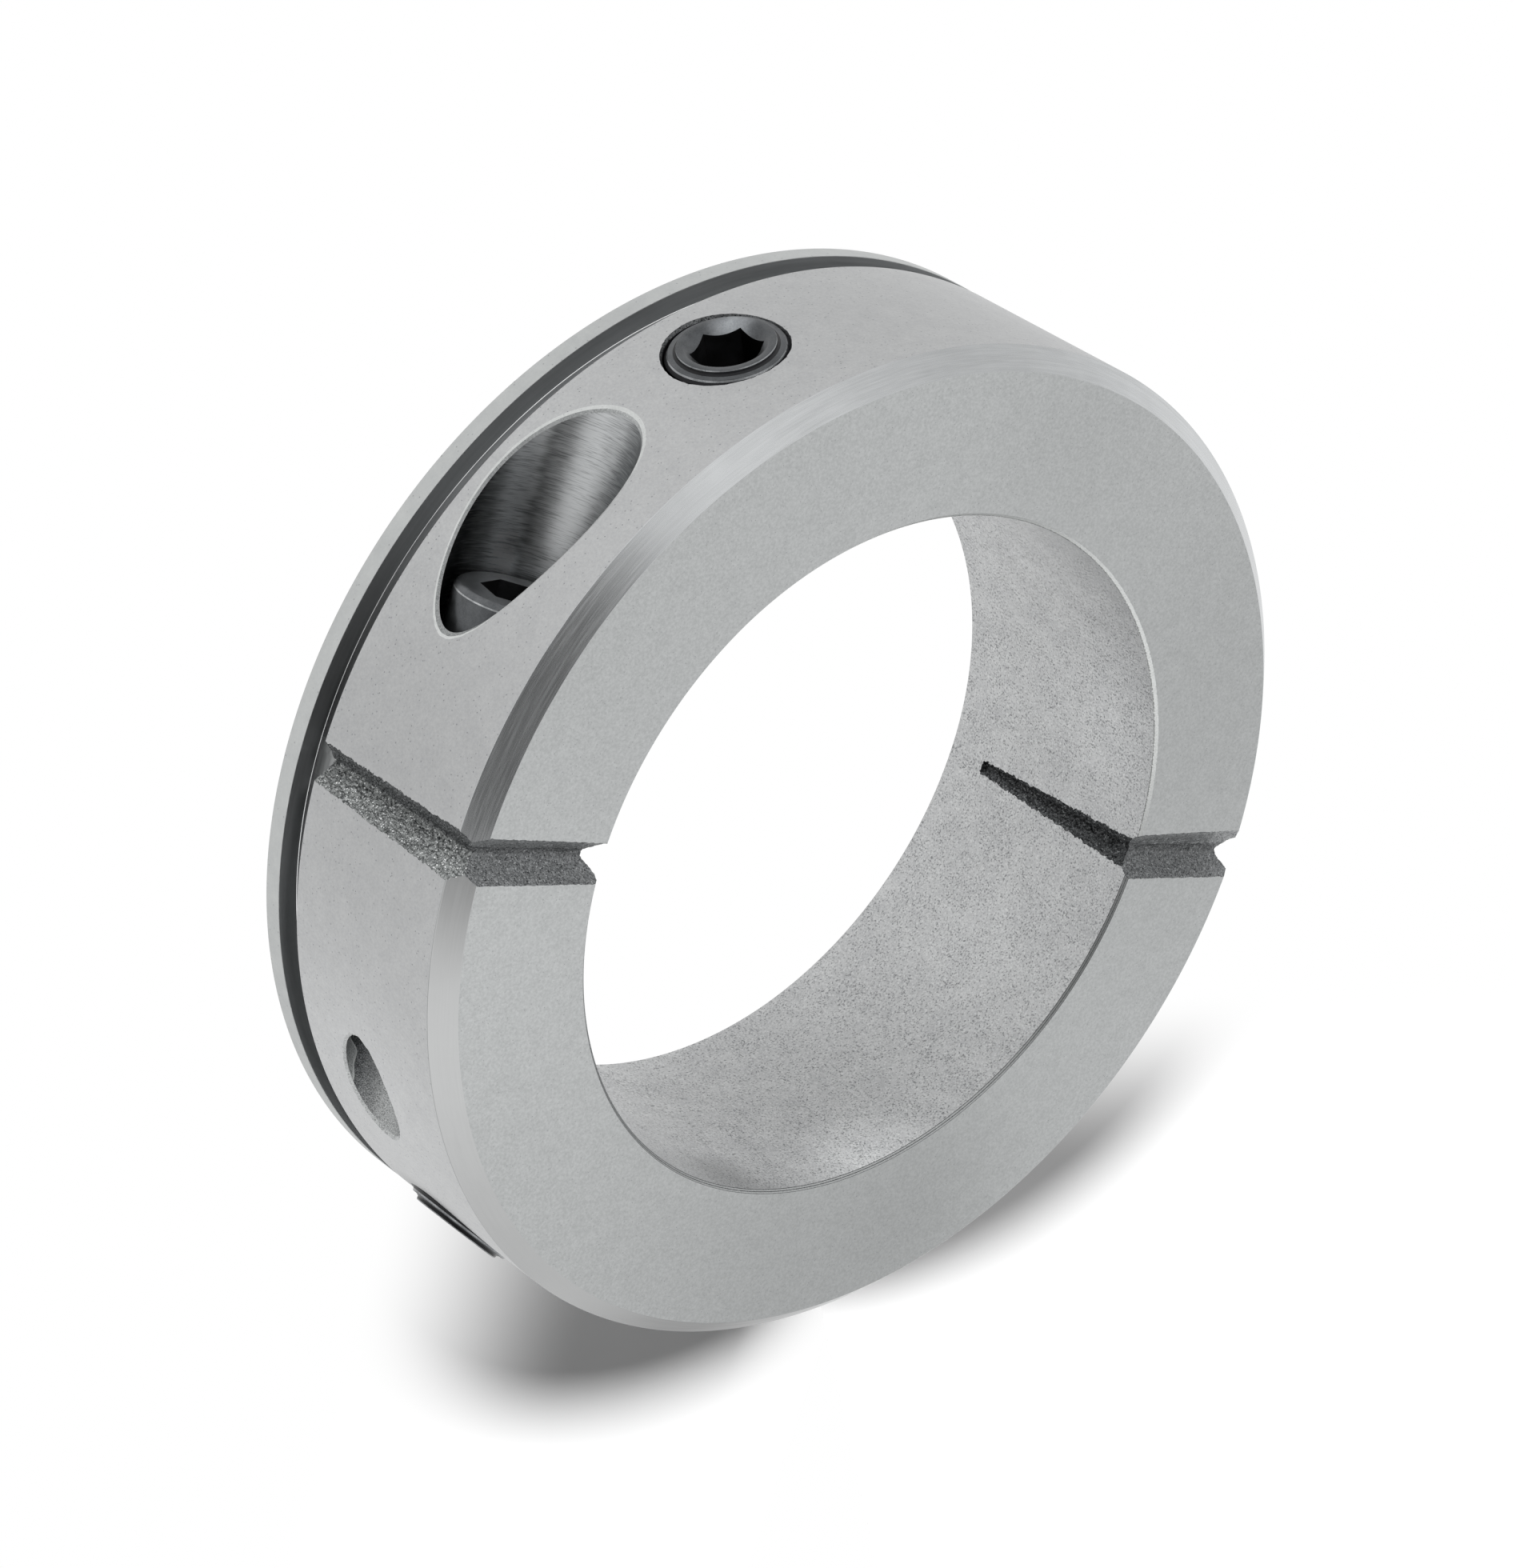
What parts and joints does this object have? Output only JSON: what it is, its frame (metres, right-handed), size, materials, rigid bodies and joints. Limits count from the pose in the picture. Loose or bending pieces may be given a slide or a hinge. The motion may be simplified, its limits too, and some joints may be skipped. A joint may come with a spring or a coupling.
{
  "type": "split thrust collar",
  "caption": "Steel split thrust collar: notched ring halves clamped on a shaft by socket cap screws, with a grooved rear flange and radial set screws.",
  "frame": {"origin": "centre of the bore on the rear thrust face, which the collar lies on", "axes": "+Z along the bore towards the notched front face, +X along the split, +Y across the split towards the half that holds the screw heads"},
  "size_m": [0.088, 0.088, 0.024],
  "materials": {
    "collar_steel": "satin turned steel with fine dark pits, rough grey cast skin in the split notches",
    "screw_steel": "plain grey steel",
    "black_oxide": "black oxide on steel, slightly glossy"
  },
  "bodies": {
    "lower_half": {"lower_half": "collar_steel"},
    "upper_half": {"upper_half": "collar_steel"},
    "clamp_screw_left": {"clamp_screw_left": "screw_steel"},
    "clamp_screw_right": {"clamp_screw_right": "screw_steel"},
    "set_screw_upper": {"set_screw_upper": "black_oxide"},
    "set_screw_lower": {"set_screw_lower": "black_oxide"}
  },
  "joints": [
    {"name": "upper_half_open", "type": "slide", "parent": "lower_half", "child": "upper_half", "axis": [0, 1, 0], "range_m": [0, 0.014]},
    {"name": "clamp_screw_left_turn", "type": "hinge", "parent": "upper_half", "child": "clamp_screw_left", "pos_m": [-0.0357, 0.0114, 0.012], "axis": [0, 1, 0], "range_deg": [0, 5040]},
    {"name": "clamp_screw_right_turn", "type": "hinge", "parent": "upper_half", "child": "clamp_screw_right", "pos_m": [0.0357, 0.0114, 0.012], "axis": [0, 1, 0], "range_deg": [0, 5040]},
    {"name": "set_screw_upper_travel", "type": "slide", "parent": "upper_half", "child": "set_screw_upper", "axis": [-0.4848, 0.8746, 0], "range_m": [-0.0022, 0.0113]},
    {"name": "set_screw_lower_travel", "type": "slide", "parent": "lower_half", "child": "set_screw_lower", "axis": [-0.5, -0.866, 0], "range_m": [-0.0025, 0.011]}
  ],
  "couplings": [
    {"joint": "clamp_screw_left_turn", "follows": "upper_half_open", "rad_per_m": 6283.2},
    {"joint": "clamp_screw_right_turn", "follows": "upper_half_open", "rad_per_m": 6283.2}
  ]
}
